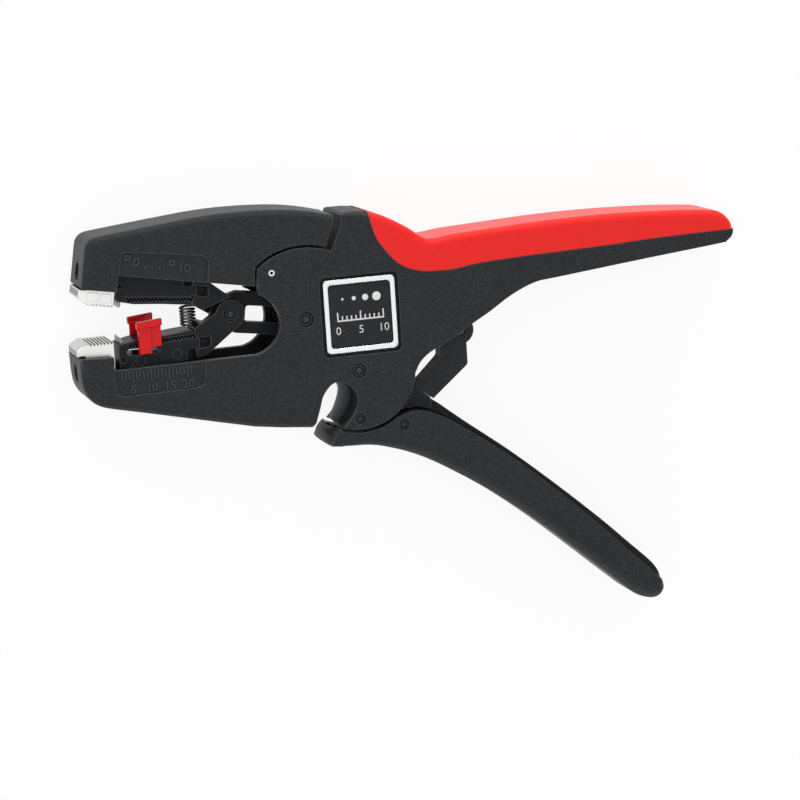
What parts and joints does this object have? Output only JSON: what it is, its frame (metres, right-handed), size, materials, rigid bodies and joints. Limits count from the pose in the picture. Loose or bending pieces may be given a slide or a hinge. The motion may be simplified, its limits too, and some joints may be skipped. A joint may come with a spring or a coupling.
{
  "type": "automatic wire stripper",
  "caption": "Pistol-style automatic wire stripper with open jaws, red upper grip, red length stop, serrated clamping jaws and a cutter notch.",
  "frame": {"origin": "on the outer face of the far housing half, between the jaw pivot and the handle pivot", "axes": "+X from the jaws to the handle ends, +Y across the tool towards its upper jaw, +Z from the far housing half to the near one"},
  "size_m": [0.1899, 0.1229, 0.02],
  "materials": {
    "charcoal_nylon": "fine grained glass-filled nylon",
    "dark_nylon": "fine grained nylon",
    "red_grip": "smooth overmoulded grip",
    "red_slider": "smooth",
    "satin_nickel": "satin",
    "silver_border": "bright",
    "blade_steel": "ground",
    "black_oxide_steel": "black oxide",
    "spring_steel": "bright wire",
    "badge_plate": "fine grained, bare"
  },
  "bodies": {
    "frame": {"housing_near": "charcoal_nylon", "housing_far": "charcoal_nylon", "upper_grip": "red_grip", "badge_frame": "silver_border", "badge_plate": "badge_plate", "lower_clamp_jaw": "satin_nickel", "lower_clamp_screw": "black_oxide_steel", "jaw_pivot_pin": "black_oxide_steel", "handle_pivot_pin": "black_oxide_steel", "housing_rivet": "black_oxide_steel", "housing_roll_pin": "satin_nickel", "rocker_pivot_pin": "black_oxide_steel", "cutter_fixed_blade": "blade_steel"},
    "upper_jaw": {"upper_jaw": "charcoal_nylon", "upper_clamp_jaw": "satin_nickel", "upper_clamp_screw": "black_oxide_steel"},
    "draw_bar": {"draw_bar": "dark_nylon", "arm_pivot_pin": "black_oxide_steel"},
    "lower_arm": {"lower_blade_arm": "dark_nylon", "lower_blade_holder": "dark_nylon", "lower_blade": "blade_steel", "blade_spring": "spring_steel"},
    "upper_arm": {"upper_blade_arm": "dark_nylon", "upper_blade_holder": "dark_nylon", "upper_blade": "blade_steel"},
    "length_stop": {"length_stop": "red_slider"},
    "handle": {"lower_handle": "charcoal_nylon", "handle_core": "dark_nylon", "handle_rivet": "black_oxide_steel", "elbow_arm": "charcoal_nylon", "elbow_pin": "black_oxide_steel", "cutter_moving_blade": "blade_steel"},
    "rocker": {"rocker": "black_oxide_steel", "rocker_pin": "satin_nickel"}
  },
  "joints": [
    {"name": "handle_pivot", "type": "hinge", "parent": "frame", "child": "handle", "pos_m": [0.0026, -0.0089, 0.01], "axis": [0, 0, 1], "range_deg": [0, 38], "stiffness_Nm_per_rad": 0.8, "springref_deg": -17.19},
    {"name": "jaw_hinge", "type": "hinge", "parent": "frame", "child": "upper_jaw", "pos_m": [-0.0114, 0.0069, 0.01], "axis": [0, 0, 1], "range_deg": [0, 10]},
    {"name": "draw_slide", "type": "slide", "parent": "frame", "child": "draw_bar", "axis": [0.9897, -0.1435, 0], "range_m": [0, 0.0125]},
    {"name": "upper_arm_hinge", "type": "hinge", "parent": "draw_bar", "child": "upper_arm", "pos_m": [-0.0314, 0.0098, 0.01], "axis": [0, 0, 1], "range_deg": [0, 12.4], "deforming": ["blade_spring"]},
    {"name": "lower_arm_hinge", "type": "hinge", "parent": "draw_bar", "child": "lower_arm", "pos_m": [-0.0314, 0.0098, 0.01], "axis": [0, 0, 1], "range_deg": [-2, 0]},
    {"name": "stop_slide", "type": "slide", "parent": "lower_arm", "child": "length_stop", "axis": [1, 0, 0], "range_m": [-0.0045, 0.0018]},
    {"name": "rocker_turn", "type": "hinge", "parent": "frame", "child": "rocker", "pos_m": [0.012, -0.002, 0.01], "axis": [0, 0, 1], "range_deg": [-57.1, 0]}
  ],
  "couplings": [
    {"joint": "jaw_hinge", "follows": "handle_pivot", "ratio": 0.26315},
    {"joint": "draw_slide", "follows": "handle_pivot", "m_per_rad": 0.018845},
    {"joint": "upper_arm_hinge", "follows": "handle_pivot", "ratio": 0.3263},
    {"joint": "lower_arm_hinge", "follows": "handle_pivot", "ratio": -0.0526},
    {"joint": "rocker_turn", "follows": "handle_pivot", "ratio": -1.5}
  ]
}
